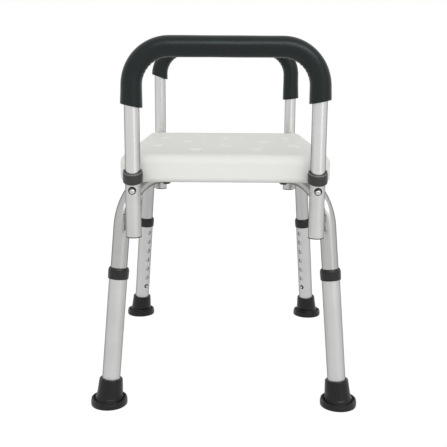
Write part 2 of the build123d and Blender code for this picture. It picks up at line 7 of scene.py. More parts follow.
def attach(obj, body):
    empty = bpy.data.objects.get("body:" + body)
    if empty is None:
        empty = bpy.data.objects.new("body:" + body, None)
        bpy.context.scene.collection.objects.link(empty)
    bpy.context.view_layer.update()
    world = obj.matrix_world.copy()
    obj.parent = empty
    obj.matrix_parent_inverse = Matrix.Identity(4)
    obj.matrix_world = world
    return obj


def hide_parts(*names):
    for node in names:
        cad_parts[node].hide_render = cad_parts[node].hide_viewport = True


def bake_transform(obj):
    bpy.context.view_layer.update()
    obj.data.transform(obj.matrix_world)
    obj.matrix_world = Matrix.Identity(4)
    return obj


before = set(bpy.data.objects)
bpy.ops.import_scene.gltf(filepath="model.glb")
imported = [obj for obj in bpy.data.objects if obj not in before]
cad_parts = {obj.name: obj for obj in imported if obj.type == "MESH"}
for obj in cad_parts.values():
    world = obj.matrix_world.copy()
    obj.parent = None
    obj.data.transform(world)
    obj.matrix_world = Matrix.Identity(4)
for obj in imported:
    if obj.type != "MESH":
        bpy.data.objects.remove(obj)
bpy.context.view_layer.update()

# Frame tubes: two diagonals of 25.4 mm aluminium tube that cross under the seat and bend down
# into the legs. They are drawn, bent, etched and clear anodised, which leaves a satin surface
# with faint lines along the tube and a slightly cloudy shade.
TUBE_COLOUR = (0.565, 0.57, 0.555, 1)
TUBE_EDGE_TINT = (0.04, 0.042, 0.04, 1)
TUBE_ROUGHNESS = 0.42
FRAME_COLOUR = (0.46, 0.465, 0.455, 1)
FRAME_ROUGHNESS = 0.3
TUBE_LINE_DEPTH = 0.00002
FRAME_LINE_DEPTH = 0.000004
LINES_PER_METRE = 1500.0
LINE_STRETCH = 0.012
CLOUDS_PER_METRE = 26.0


def shader_node(tree, kind, inputs=(), **settings):
    """Adds one shader node with its settings; each input is a socket to link from or a value to set."""
    made = tree.nodes.new(kind)
    for name, value in settings.items():
        setattr(made, name, value)
    for key, value in dict(inputs).items():
        if isinstance(value, bpy.types.NodeSocket):
            tree.links.new(value, made.inputs[key])
        else:
            made.inputs[key].default_value = value
    return made


def maths(tree, operation, *terms):
    """Adds one arithmetic node on its terms, each a socket or a number; returns the result."""
    return shader_node(tree, "ShaderNodeMath", dict(enumerate(terms)), operation=operation).outputs[0]


def noise(tree, place, scale, detail, roughness=0.5):
    """Noise with about scale bumps per metre."""
    sockets = {"Vector": place, "Scale": scale, "Detail": detail, "Roughness": roughness}
    return shader_node(tree, "ShaderNodeTexNoise", sockets).outputs[0]


def mapped(tree, value, start, end, low, high):
    """Value that runs from start to end, mapped to low to high and held beyond both."""
    sockets = {"Value": value, "From Min": start, "From Max": end, "To Min": low, "To Max": high}
    return shader_node(tree, "ShaderNodeMapRange", sockets).outputs[0]


def mixed_colour(tree, share, first, second, blend="MIX"):
    """First colour mixed with the second by a share."""
    return shader_node(
        tree, "ShaderNodeMix", {0: share, 6: first, 7: second}, data_type="RGBA", blend_type=blend
    ).outputs[2]


def effect_group(name, *extra):
    """Starts a node group that takes Vector, Colour, Roughness and any extra values.

    It gives Colour, Roughness and Height. Returns the group, its inputs and the sockets of its output.
    """
    tree = bpy.data.node_groups.new(name, "ShaderNodeTree")
    kinds = {"Vector": "NodeSocketVector", "Colour": "NodeSocketColor"}
    for label in ("Vector", "Colour", "Roughness", *extra):
        tree.interface.new_socket(label, in_out="INPUT", socket_type=kinds.get(label, "NodeSocketFloat"))
    for label in ("Colour", "Roughness", "Height"):
        tree.interface.new_socket(label, in_out="OUTPUT", socket_type=kinds.get(label, "NodeSocketFloat"))
    return tree, tree.nodes.new("NodeGroupInput").outputs, tree.nodes.new("NodeGroupOutput").inputs


def new_finish(name, sockets):
    """Starts a material with plain shader values; returns it, its tree, its shader and Object coordinates."""
    material = bpy.data.materials.new(name)
    material.use_nodes = True
    tree = material.node_tree
    shader = tree.nodes["Principled BSDF"].inputs
    for key, value in sockets.items():
        shader[key].default_value = value
    return material, tree, shader, tree.nodes.new("ShaderNodeTexCoord").outputs["Object"]


def finish_nodes(material, *names):
    """Gives carried-over pieces their finish."""
    for name in names:
        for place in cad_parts[name].material_slots:
            place.material = material


def fit_effect(tree, shader, effect, sockets, strength, depth):
    """Feeds a material from an effect group; depth is the height of its relief in metres."""
    made = shader_node(tree, "ShaderNodeGroup", sockets, node_tree=effect).outputs
    bump = shader_node(
        tree, "ShaderNodeBump", {"Strength": strength, "Distance": depth, "Height": made["Height"]}
    )
    tree.links.new(made["Colour"], shader["Base Color"])
    tree.links.new(made["Roughness"], shader["Roughness"])
    tree.links.new(bump.outputs[0], shader["Normal"])


def drawn_metal_group():
    """Drawn metal: noise pulled out along Z gives fine lines, and a broad noise clouds shade and gloss."""
    tree, given, out = effect_group("drawn_metal")
    pulled = shader_node(
        tree, "ShaderNodeVectorMath", {0: given["Vector"], 1: (1, 1, LINE_STRETCH)}, operation="MULTIPLY"
    ).outputs[0]
    lines = noise(tree, pulled, LINES_PER_METRE, 3.0)
    cloud = noise(tree, given["Vector"], CLOUDS_PER_METRE, 4.0, 0.6)
    shade = mapped(tree, cloud, 0.3, 0.7, 0.97, 1.03)
    cloudy = maths(tree, "MULTIPLY_ADD", cloud, 0.1, given["Roughness"])
    lined = maths(tree, "MULTIPLY_ADD", lines, 0.06, cloudy)
    tree.links.new(mixed_colour(tree, 1.0, given["Colour"], shade, "MULTIPLY"), out["Colour"])
    tree.links.new(maths(tree, "SUBTRACT", lined, 0.08), out["Roughness"])
    tree.links.new(lines, out["Height"])
    return tree


DRAWN_METAL = drawn_metal_group()


def metal_finish(name, colour, roughness, line_depth, edge_tint):
    """Metal with the drawn finish, its lines line_depth metres deep; edge_tint is its shade at the rim."""
    material, tree, shader, place = new_finish(name, {"Metallic": 1.0, "Specular Tint": edge_tint})
    sockets = {"Vector": place, "Colour": colour, "Roughness": roughness}
    fit_effect(tree, shader, DRAWN_METAL, sockets, 0.5, line_depth)
    return material


satin_anodised = metal_finish("satin_anodised", TUBE_COLOUR, TUBE_ROUGHNESS, TUBE_LINE_DEPTH, TUBE_EDGE_TINT)
bright_anodised = metal_finish(
    "bright_anodised", FRAME_COLOUR, FRAME_ROUGHNESS, FRAME_LINE_DEPTH, TUBE_EDGE_TINT
)
finish_nodes(bright_anodised, "frame_tube_long", "frame_tube_front_left", "frame_tube_rear_right")

# Arm sockets and webs: short tubes beside the seat that take the arms, each joined to its leg by an
# upright plate. Plate and tubes are the same anodised aluminium, tacked together before finishing.
CORNERS = {"front_right": (1, -1), "front_left": (1, 1), "rear_right": (-1, -1), "rear_left": (-1, 1)}
for corner in CORNERS:
    finish_nodes(satin_anodised, f"arm_socket_{corner}", f"socket_web_{corner}")

# Weld beads: the seams along both edges of each web and under the crossing of the frame tubes.
# Each is a laid row of overlapping puddles of filler metal, a little duller than the tube.
FRAME_RADIUS = 0.0127
FRAME_HEIGHT = 0.3483
FRAME_BEND_RADIUS = 0.079
LEG_TILT = math.radians(7.0)
DIAGONAL_ANGLE = math.radians(51.1)
FOOT_REACH = 0.2854
ARM_HALF_SPAN = 0.1344
ARM_OFFSET = 0.2369
WEB_LOW = 0.2755
WEB_HIGH = 0.2985
SOCKET_RADIUS = 0.01145
WEB_HALF_THICKNESS = 0.002
BEAD_RADIUS = 0.001
BEAD_PITCH = 0.0021
BEAD_COLOUR = (0.56, 0.56, 0.55, 1)


def closed_shell(points, loop_rows=False):
    """Vertices and faces of a closed grid: columns wrap round and rows follow on.

    Rows either loop back to the first, or each end row is closed by a fan to its mean point.
    Faces are turned over where the signed volume, the sum over triangles of place . area vector / 3, is
    negative.
    """
    rows, columns, _ = points.shape
    index = np.arange(rows * columns).reshape(rows, columns)
    after = np.roll(index, -1, axis=1)
    low, high = (slice(None), slice(None)) if loop_rows else (slice(None, -1), slice(1, None))
    next_row, next_after = index, after
    if loop_rows:
        next_row, next_after = np.roll(index, -1, axis=0), np.roll(after, -1, axis=0)
    quads = np.stack([index[low], after[low], next_after[high], next_row[high]], axis=-1).reshape(-1, 4)
    vertices = points.reshape(-1, 3)
    fans = np.empty((0, 3), int)
    if not loop_rows:
        middles = points[[0, -1]].mean(axis=1)
        start, end = len(vertices), len(vertices) + 1
        first = np.stack([after[0], index[0], np.full(columns, start)], axis=-1)
        last = np.stack([index[-1], after[-1], np.full(columns, end)], axis=-1)
        fans = np.concatenate([first, last])
        vertices = np.concatenate([vertices, middles])
    triangles = np.concatenate([quads[:, [0, 1, 2]], quads[:, [0, 2, 3]], fans])
    a, b, c = (vertices[triangles[:, k]] for k in range(3))
    if np.einsum("ij,ij->", a, np.cross(b, c)) < 0:
        quads, fans = quads[:, ::-1], fans[:, ::-1]
    return vertices, quads.tolist() + fans.tolist()


def shell_piece(name, shells, material, body, highlight_share=None):
    """Joins closed shells into one smooth object at the origin that rides on a body, where one is named.

    Highlight share, if given, is a value from 0 to 1 for each vertex, kept as an attribute: a painted
    highlight.
    """
    vertices, faces, count = [], [], 0
    for shell_vertices, shell_faces in shells:
        vertices.append(shell_vertices)
        faces += [[corner + count for corner in face] for face in shell_faces]
        count += len(shell_vertices)
    mesh = bpy.data.meshes.new(name)
    mesh.from_pydata(np.concatenate(vertices), [], faces)
    mesh.polygons.foreach_set("use_smooth", np.ones(len(mesh.polygons), bool))
    mesh.materials.append(material)
    if highlight_share is not None:
        mesh.attributes.new("painted_highlight", "FLOAT", "POINT").data.foreach_set("value", highlight_share)
    piece = bpy.data.objects.new(name, mesh)
    bpy.context.scene.collection.objects.link(piece)
    if body is not None:
        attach(piece, body)
    return piece


def bead_shell(route):
    """A round cord along a route of points, swelling once every bead pitch, and drawn in at both ends.

    Radius = bead radius x (0.85 + 0.15 x |cos(pi x length / pitch)|) x a quarter-ellipse at each end.
    """
    steps = np.linalg.norm(np.diff(route, axis=0), axis=1)
    length = np.concatenate([[0], np.cumsum(steps)])
    along = np.gradient(route, axis=0)
    along /= np.linalg.norm(along, axis=1, keepdims=True)
    spare = np.where(np.abs(along[:, 2:]) > 0.8, [[1.0, 0, 0]], [[0, 0, 1.0]])
    side = np.cross(along, spare)
    side /= np.linalg.norm(side, axis=1, keepdims=True)
    up = np.cross(side, along)
    to_end = np.clip(np.minimum(length, length[-1] - length) / (1.5 * BEAD_RADIUS), 0, 1)
    taper = np.sqrt(np.clip(1 - (1 - to_end) ** 2, 0.02, 1))
    radius = BEAD_RADIUS * (0.85 + 0.15 * np.abs(np.cos(np.pi * length / BEAD_PITCH))) * taper
    turn = np.linspace(0, 2 * np.pi, 12, endpoint=False)
    ring = np.cos(turn)[None, :, None] * side[:, None] + np.sin(turn)[None, :, None] * up[:, None]
    return closed_shell(route[:, None] + radius[:, None, None] * ring)


def outward(corner):
    """Level direction from the stool's middle towards a corner."""
    forward, sideways = CORNERS[corner]
    return np.array([forward * math.cos(DIAGONAL_ANGLE), sideways * math.sin(DIAGONAL_ANGLE), 0.0])


def web_beads(corner):
    """Four upright beads: both faces of the web where it meets the socket, and where it meets the leg.

    The leg's axis leans by the tilt up to the bend, and above it falls in by the bend's arc.
    """
    height = np.linspace(WEB_LOW, WEB_HIGH, 150)
    forward, sideways = CORNERS[corner]
    socket = np.array([forward * ARM_HALF_SPAN, sideways * ARM_OFFSET, 0.0])
    half_bend = (math.pi / 2 - LEG_TILT) / 2
    bend_low = FRAME_HEIGHT - FRAME_BEND_RADIUS * math.tan(half_bend) * math.cos(LEG_TILT)
    past = np.clip(height - bend_low, 0, None) / math.cos(LEG_TILT)
    fall = FRAME_BEND_RADIUS - np.sqrt(FRAME_BEND_RADIUS**2 - past**2)
    reach = FOOT_REACH - height * math.tan(LEG_TILT) - fall
    middle = outward(corner) * (FOOT_REACH - (WEB_LOW + WEB_HIGH) / 2 * math.tan(LEG_TILT))
    across = (middle - socket) / np.linalg.norm(middle - socket)
    face = np.array([-across[1], across[0], 0.0])
    upright = height[:, None] * np.array([0, 0, 1.0])
    by_socket = across * math.sqrt(SOCKET_RADIUS**2 - WEB_HALF_THICKNESS**2)
    by_leg = across * math.sqrt(FRAME_RADIUS**2 - WEB_HALF_THICKNESS**2)
    shells = []
    for way in (-WEB_HALF_THICKNESS, WEB_HALF_THICKNESS):
        shells.append(bead_shell(socket + by_socket + face * way + upright))
        shells.append(bead_shell(reach[:, None] * outward(corner) - by_leg + face * way + upright))
    return shells


def crossing_bead(corner):
    """Bead under the crossing, where a half tube meets the long tube.

    At each angle round the half tube's lower side, the distance along it is where both tubes are one
    radius from their axes: t = (|r cos a| - r cos a x (side . long side)) / (along . long side).
    """
    along = outward(corner)
    side = np.array([-along[1], along[0], 0.0])
    long_way = outward("front_right")
    long_side = np.array([-long_way[1], long_way[0], 0.0])
    long_side *= np.sign(along @ long_side)
    angle = np.linspace(math.pi * 1.06, math.pi * 1.94, 120)
    over = FRAME_RADIUS * np.cos(angle)
    reach = (np.abs(over) - over * (side @ long_side)) / (along @ long_side)
    drop = FRAME_HEIGHT + FRAME_RADIUS * np.sin(angle)
    upright = drop[:, None] * np.array([0, 0, 1.0])
    return bead_shell(reach[:, None] * along + over[:, None] * side + upright)


weld_metal = metal_finish(
    "weld_metal", BEAD_COLOUR, roughness=0.55, line_depth=0.00004, edge_tint=(0.7, 0.7, 0.7, 1)
)
bead_shells = [shell for corner in CORNERS for shell in web_beads(corner)]
bead_shells += [crossing_bead("front_left"), crossing_bead("rear_right")]
shell_piece("weld_beads", bead_shells, weld_metal, "frame")

# Seat: one hollow blow-moulded shell of white polyethylene with countersunk drain holes. The tool's
# etched face leaves a fine grain, the walls are a touch uneven, and the gloss is low and soft.
SEAT_COLOUR = (0.83, 0.838, 0.80, 1)
SEAT_GRAINS = 1100.0
SEAT_SWING = 0.03
SWELLS_PER_METRE = 14.0


def moulded_grain_group():
    """Moulded plastic or rubber: fine noise for the etched grain, broad noise for slow shade and gloss."""
    tree, given, out = effect_group("moulded_grain", "Grain Scale", "Shade Swing")
    grain = noise(tree, given["Vector"], given["Grain Scale"], 2.0, 0.55)
    swing = maths(tree, "SUBTRACT", noise(tree, given["Vector"], SWELLS_PER_METRE, 3.0), 0.5)
    shade = maths(tree, "MULTIPLY_ADD", swing, given["Shade Swing"], 1.0)
    slow_gloss = maths(tree, "MULTIPLY_ADD", swing, 0.2, given["Roughness"])
    tree.links.new(mixed_colour(tree, 1.0, given["Colour"], shade, "MULTIPLY"), out["Colour"])
    tree.links.new(maths(tree, "MULTIPLY_ADD", grain, 0.08, slow_gloss), out["Roughness"])
    tree.links.new(grain, out["Height"])
    return tree


MOULDED_GRAIN = moulded_grain_group()


def moulded_finish(name, colour, roughness, grains, grain_depth, swing, specular):
    """Moulded finish: grains per metre, grain_depth in metres, and swing as a share of the shade."""
    material, tree, shader, place = new_finish(name, {"Specular IOR Level": specular})
    sockets = {"Vector": place, "Colour": colour, "Roughness": roughness}
    sockets.update({"Grain Scale": grains, "Shade Swing": swing})
    fit_effect(tree, shader, MOULDED_GRAIN, sockets, 0.6, grain_depth)
    return material


white_polyethylene = moulded_finish(
    "white_polyethylene", SEAT_COLOUR, roughness=0.5, grains=SEAT_GRAINS, grain_depth=0.00005,
    swing=SEAT_SWING, specular=0.2,
)
finish_nodes(white_polyethylene, "seat")

# Drain lips: the slightly raised, rounded rims that the tool leaves round the countersinks. Each is
# the same plastic as the seat and stands proud of it by a millimetre. The rims come off polished pins,
# so they are smoother than the grained top.
SEAT_TOP = 0.3907
DRAIN_PLACES = [(0.047, 0.138), (0.0, 0.078), (0.113, 0.078), (0.066, 0.0)]
LIP_RADIUS = 0.0082
LIP_HALF_WIDTH = 0.0018
LIP_HEIGHT = 0.0011


def ring_shell(middle, radius, half_width, half_height):
    """Level ring: an ellipse, half_width wide and half_height high, carried round an upright axis."""
    turn = np.linspace(0, 2 * np.pi, 40, endpoint=False)[None, :]
    round_section = np.linspace(0, 2 * np.pi, 12, endpoint=False)[:, None]
    reach = radius + half_width * np.cos(round_section)
    height = half_height * np.sin(round_section) + 0 * turn
    ring = np.stack([reach * np.cos(turn), reach * np.sin(turn), height], axis=-1)
    return closed_shell(ring + middle, loop_rows=True)


drains = sorted({(a * x, b * y) for x, y in DRAIN_PLACES for a in (1, -1) for b in (1, -1)})
lips = [ring_shell(np.array([x, y, SEAT_TOP]), LIP_RADIUS, LIP_HALF_WIDTH, LIP_HEIGHT) for x, y in drains]
polished_polyethylene = moulded_finish(
    "polished_polyethylene", SEAT_COLOUR, roughness=0.26, grains=SEAT_GRAINS, grain_depth=0.00001,
    swing=SEAT_SWING, specular=0.7,
)
shell_piece("drain_lips", lips, polished_polyethylene, "frame")

# Seat fixings: dark oxidised socket-head bolts up through the tubes, plastic saddle washers shaped to
# the tube, and knurled brass inserts moulded into the seat's underside.
black_oxide = metal_finish(
    "black_oxide", (0.045, 0.046, 0.05, 1), roughness=0.46, line_depth=0.00002, edge_tint=(0.6, 0.6, 0.6, 1)
)
insert_brass = metal_finish(
    "insert_brass", (0.62, 0.45, 0.2, 1), roughness=0.34, line_depth=0.00003, edge_tint=(0.9, 0.9, 0.9, 1)
)
collar_plastic = moulded_finish(
    "collar_plastic", (0.009, 0.009, 0.0085, 1), roughness=0.38, grains=1500.0, grain_depth=0.00003,
    swing=0.12, specular=0.36,
)
finish_nodes(black_oxide, "seat_bolts")
finish_nodes(insert_brass, "seat_inserts")
finish_nodes(collar_plastic, "saddle_washers")

# Socket collars: dark moulded rings pushed on the sockets' upper ends. Their upper and lower edges
# dip towards the sides of the stool, the upper edge is bevelled, and a lip inside guides the arm. A
# thin light line just under the bevel is a painted highlight.
COLLAR_RADIUS = 0.0146
COLLAR_LOW = 0.349
COLLAR_HEIGHT = 0.017
COLLAR_SCOOP = 0.005
SOCKET_SEAT = 0.36105
COLLAR_BORE = 0.01132
COLLAR_FIT = 0.00005
COLLAR_STEPS = 72
COLLAR_COLOUR = (0.019, 0.019, 0.018, 1)
# Light colour of the line under the collar's bevel: a painted highlight
COLLAR_HIGHLIGHT = (0.17, 0.17, 0.165, 1)


def soften(corners, steps=5, loop=True):
    """Profile with softened corners, each a parabola: (1-t)^2 x start + 2t(1-t) x corner + t^2 x end.

    Each corner row ends with its cut, the length taken off the two sides that meet there. The profile
    loops, or else keeps its first and last rows as they are.
    """
    corners = np.asarray(corners, float)
    places, cut = corners[:, :-1], corners[:, -1:]
    back = np.roll(places, 1, axis=0) - places
    ahead = np.roll(places, -1, axis=0) - places
    start = places + cut * back / np.linalg.norm(back, axis=1, keepdims=True)
    end = places + cut * ahead / np.linalg.norm(ahead, axis=1, keepdims=True)
    t = np.linspace(0, 1, steps)[None, :, None]
    arcs = (1 - t) ** 2 * start[:, None] + 2 * t * (1 - t) * places[:, None] + t**2 * end[:, None]
    if loop:
        return arcs.reshape(-1, places.shape[1])
    return np.concatenate([places[:1], arcs[1:-1].reshape(-1, places.shape[1]), places[-1:]])


def socket_collar_shell(corner):
    """Section carried round the socket, raised by scoop x (1 - |distance sideways / radius|).

    Each section row is radius, height, share of the scoop, painted highlight and cut. Returns the ring and
    its highlight.
    """
    lip = SOCKET_SEAT - COLLAR_LOW
    section = soften([
        (SOCKET_RADIUS + COLLAR_FIT, 0, 1, 0, 0.0003),
        (COLLAR_RADIUS, 0, 1, 0, 0.0011),
        (COLLAR_RADIUS, COLLAR_HEIGHT - 0.0034, 1, 0, 0.0006),
        (COLLAR_RADIUS - 0.0009, COLLAR_HEIGHT - 0.0024, 1, 1, 0.0004),
        (COLLAR_RADIUS - 0.0011, COLLAR_HEIGHT - 0.0004, 1, 0, 0.0006),
        (COLLAR_RADIUS - 0.0018, COLLAR_HEIGHT, 1, 0, 0.0003),
        (COLLAR_BORE, COLLAR_HEIGHT, 1, 0, 0.0003),
        (COLLAR_BORE, lip, 0, 0, 0.0001),
        (SOCKET_RADIUS + COLLAR_FIT, lip, 0, 0, 0.0001),
    ])
    turn = np.linspace(0, 2 * np.pi, COLLAR_STEPS, endpoint=False)
    radius, height, share = (section[:, k, None] for k in range(3))
    x = radius * np.cos(turn)
    y = radius * np.sin(turn)
    z = height + share * COLLAR_SCOOP * (1 - np.abs(np.sin(turn)))
    forward, sideways = CORNERS[corner]
    middle = np.array([forward * ARM_HALF_SPAN, sideways * ARM_OFFSET, COLLAR_LOW])
    ring = closed_shell(np.stack([x, y, z], axis=-1) + middle, loop_rows=True)
    return ring, np.repeat(section[:, 3], COLLAR_STEPS)


socket_plastic = moulded_finish(
    "socket_plastic", COLLAR_COLOUR, roughness=0.42, grains=1500.0, grain_depth=0.00004,
    swing=0.12, specular=0.5,
)
# The collar's colour is mixed with a light colour along the line under the bevel: a painted highlight.
tree = socket_plastic.node_tree
highlight_mask = shader_node(tree, "ShaderNodeAttribute", attribute_name="painted_highlight").outputs["Fac"]
highlighted_colour = mixed_colour(tree, highlight_mask, COLLAR_COLOUR, COLLAR_HIGHLIGHT)
tree.links.new(highlighted_colour, tree.nodes["Group"].inputs["Colour"])
for corner in CORNERS:
    name = f"socket_collar_{corner}"
    ring, highlight_share = socket_collar_shell(corner)
    collar = shell_piece(name + "_ring", [ring], socket_plastic, "frame", highlight_share)
    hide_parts(name)

# Socket rims: thin dark rings round the sockets' lower cut ends, each a ring in the dark plastic
# finish lying on the tube's wall.
SOCKET_LOW = 0.2714
RIM_RADIUS = SOCKET_RADIUS - 0.0006
RIM_HALF_WIDTH = 0.0011
RIM_HEIGHT = 0.0009
ends = [np.array([x * ARM_HALF_SPAN, y * ARM_OFFSET, SOCKET_LOW]) for x, y in CORNERS.values()]
rims = [ring_shell(end, RIM_RADIUS, RIM_HALF_WIDTH, RIM_HEIGHT) for end in ends]
shell_piece("socket_rims", rims, collar_plastic, "frame")

# Leg extensions: wider anodised tubes that slide on the frame's legs, with a row of button holes on
# the inner side. A dark collar with a tapered top is pressed on each upper end as a guide.
LEG_COLLAR_LOW = 0.1973
# Rows of radius, height along the leg, cut
LEG_COLLAR_SECTION = [
    (0.01411, 0, 0.0003),
    (0.01575, 0, 0.0011),
    (0.0161, 0.0112, 0.002),
    (0.0161, 0.0138, 0.0012),
    (0.0148, 0.0176, 0.0009),
    (0.01305, 0.0176, 0.0005),
    (0.01305, 0.0146, 0.0003),
    (0.01411, 0.0146, 0.0003),
]


def leg_frame(corner):
    """Directions at a leg: out across it, sideways, and up along it."""
    out = outward(corner)
    upright = np.array([0, 0, 1.0])
    along = upright * math.cos(LEG_TILT) - out * math.sin(LEG_TILT)
    across = out * math.cos(LEG_TILT) + upright * math.sin(LEG_TILT)
    return across, np.cross(along, across), along


def leg_point(corner, height):
    """Point on a leg's axis at a height."""
    return outward(corner) * (FOOT_REACH - height * math.tan(LEG_TILT)) + np.array([0, 0, height])


def turned_on_leg(corner, section, height, steps):
    """Section of radius and length carried round a leg's axis, from the axis point at a height."""
    across, sideways, along = leg_frame(corner)
    turn = np.linspace(0, 2 * np.pi, steps, endpoint=False)
    ring = np.cos(turn)[:, None] * across + np.sin(turn)[:, None] * sideways
    return leg_point(corner, height) + section[:, :1, None] * ring + section[:, 1:2, None] * along


for corner in CORNERS:
    finish_nodes(satin_anodised, f"leg_tube_{corner}")
    name = f"leg_collar_{corner}"
    ring = turned_on_leg(corner, soften(LEG_COLLAR_SECTION), LEG_COLLAR_LOW, COLLAR_STEPS)
    shells = [closed_shell(ring, loop_rows=True)]
    collar = shell_piece(name + "_ring", shells, collar_plastic, f"leg_{corner}")
    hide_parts(name)

# Feet: moulded rubber ferrules on the extensions' lower ends, with a wide level flange that has a
# raised lip round a gutter and tread rings underneath. Matt, with a shade that varies a little at random.
FOOT_RADIUS = 0.02825
FOOT_STEPS = 96
# Rows of radius, height, share of the leg's lean, cut
FOOT_SECTION = [
    (0.0020, 0, 0, 0),
    (0.0075, 0, 0, 0.0003),
    (0.0075, 0.0012, 0, 0.0003),
    (0.0105, 0.0012, 0, 0.0003),
    (0.0105, 0, 0, 0.0003),
    (0.0165, 0, 0, 0.0003),
    (0.0165, 0.0012, 0, 0.0003),
    (0.0195, 0.0012, 0, 0.0003),
    (0.0195, 0, 0, 0.0003),
    (FOOT_RADIUS, 0, 0, 0.0012),
    (FOOT_RADIUS, 0.0068, 0, 0.0004),
    (FOOT_RADIUS - 0.0008, 0.0074, 0, 0.0003),
    (FOOT_RADIUS - 0.0006, 0.0108, 0, 0.0012),
    (FOOT_RADIUS - 0.0034, 0.0108, 0, 0.0010),
    (FOOT_RADIUS - 0.0046, 0.0072, 0, 0.0009),
    (0.0222, 0.0078, 0, 0.0008),
    (0.0212, 0.0128, 0.1, 0.0008),
    (0.0203, 0.0136, 0.3, 0.0005),
    (0.0199, 0.0190, 1, 0.0014),
    (0.0180, 0.0407, 1, 0.0016),
    (0.01407, 0.0407, 1, 0.0012),
    (0.01407, 0.0070, 1, 0.0003),
    (0.0020, 0.0070, 1, 0),
]


def foot_shell(corner):
    """Section carried round the foot: level rings for the flange turn into rings across the leaning leg.

    Place = (1 - share) x level ring round the upright axis + share x ring round the leg's axis.
    """
    section = soften(FOOT_SECTION, loop=False)
    share = section[:, 2, None, None]
    turn = np.linspace(0, 2 * np.pi, FOOT_STEPS, endpoint=False)
    out = outward(corner)
    side = np.cross([0, 0, 1.0], out)
    ring = np.cos(turn)[:, None] * out + np.sin(turn)[:, None] * side
    level = out * FOOT_REACH + section[:, :1, None] * ring + section[:, 1:2, None] * np.array([0, 0, 1.0])
    lengths = section[:, :2] * np.array([1, 1 / math.cos(LEG_TILT)])
    leaning = turned_on_leg(corner, lengths, 0.0, FOOT_STEPS)
    return closed_shell((1 - share) * level + share * leaning)


foot_rubber = moulded_finish(
    "foot_rubber", (0.0035, 0.0035, 0.0033, 1), roughness=0.32, grains=700.0, grain_depth=0.00005,
    swing=0.25, specular=0.3,
)
washer_steel = metal_finish(
    "washer_steel", (0.56, 0.56, 0.57, 1), roughness=0.3, line_depth=0.00002, edge_tint=(0.9, 0.9, 0.9, 1)
)
for corner in CORNERS:
    name = f"foot_{corner}"
    foot = shell_piece(name + "_rubber", [foot_shell(corner)], foot_rubber, f"leg_{corner}")
    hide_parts(name)
    finish_nodes(washer_steel, f"foot_washer_{corner}")

# Arms: two lengths of 22 mm anodised tube, each bent to an upside-down U and set in its sockets. The
# smaller tube is smoother than the legs; its base colour, lighter than theirs, is painted light.
SIDES = {"right": -1, "left": 1}
lit_arm_anodised = metal_finish(
    "lit_arm_anodised", (0.625, 0.63, 0.615, 1), roughness=0.3, line_depth=TUBE_LINE_DEPTH,
    edge_tint=(0.02, 0.02, 0.02, 1),
)
for side in SIDES:
    finish_nodes(lit_arm_anodised, f"arm_tube_{side}")

# Arm stubs: black plastic tubes pressed up into the arms' lower ends; they fill the sockets and carry
# the arms' snap buttons. Their black also stands for the shade in the gap above each arm button:
# painted shade.
for corner in CORNERS:
    finish_nodes(collar_plastic, f"arm_stub_{corner}")

# Grips: charcoal closed-cell foam sleeves pushed over the arms' upper run and bends. The ends are
# cut by hand, a little higher on the outer side; the skin is smooth with fine pores and slack ripples
# inside the bends, where the sleeve is squeezed.
ARM_TOP = 0.5455
ARM_BEND_RADIUS = 0.0545
GRIP_RADIUS = 0.0152
GRIP_BORE = 0.01107
GRIP_EDGE = 0.0012
GRIP_RINGS = 420
SLANT_LENGTH = 0.05
FLARE_LENGTH = 0.04
WAVE_DEPTH = 0.0001
RIPPLE_DEPTH = 0.0003
RIPPLE_PITCH = 0.0083
FOAM_DARK = (0.0066, 0.0082, 0.0082, 1)
FOAM_PALE = (0.0098, 0.0118, 0.0118, 1)
FOAM_SHEEN = (0.86, 1, 0.99, 1)
FOAM_CELLS = 1300.0
FOAM_DEPTH = 0.00012
# The left arm is set one button hole higher
ARM_RISE = {"right": 0.0, "left": 0.0165}
# Height of each cut on the arm's axis, and its slant in degrees
GRIP_CUTS = {
    "right": {"rear": (0.462, 11.0), "front": (0.469, 11.0)},
    "left": {"rear": (0.502, 18.0), "front": (0.459, 6.0)},
}


def arm_route(length):
    """Points, outer normals and angle into the bends on the arm's U, at lengths from the rear bend's start.

    Upright up to the bend, a quarter circle, a level run, a quarter circle, and upright down again.
    """
    quarter = ARM_BEND_RADIUS * math.pi / 2
    run = 2 * (ARM_HALF_SPAN - ARM_BEND_RADIUS)
    shoulder = ARM_TOP - ARM_BEND_RADIUS
    rear = np.clip(length, 0, quarter) / ARM_BEND_RADIUS
    front = np.clip(length - quarter - run, 0, quarter) / ARM_BEND_RADIUS
    angle = rear + front
    level = np.clip(length - quarter, 0, run)
    below = np.minimum(length, 0) - np.clip(length - 2 * quarter - run, 0, None)
    x = -ARM_HALF_SPAN + ARM_BEND_RADIUS * (1 - np.cos(rear)) + level + ARM_BEND_RADIUS * np.sin(front)
    z = shoulder + ARM_BEND_RADIUS * np.sin(rear) - ARM_BEND_RADIUS * (1 - np.cos(front)) + below
    return np.stack([x, z], axis=-1), np.stack([-np.cos(angle), np.sin(angle)], axis=-1), rear - front


def cut_length(height):
    """Length from the start of a bend to a cut at a height, negative below the bend."""
    above = height - (ARM_TOP - ARM_BEND_RADIUS)
    return ARM_BEND_RADIUS * math.asin(above / ARM_BEND_RADIUS) if above > 0 else above


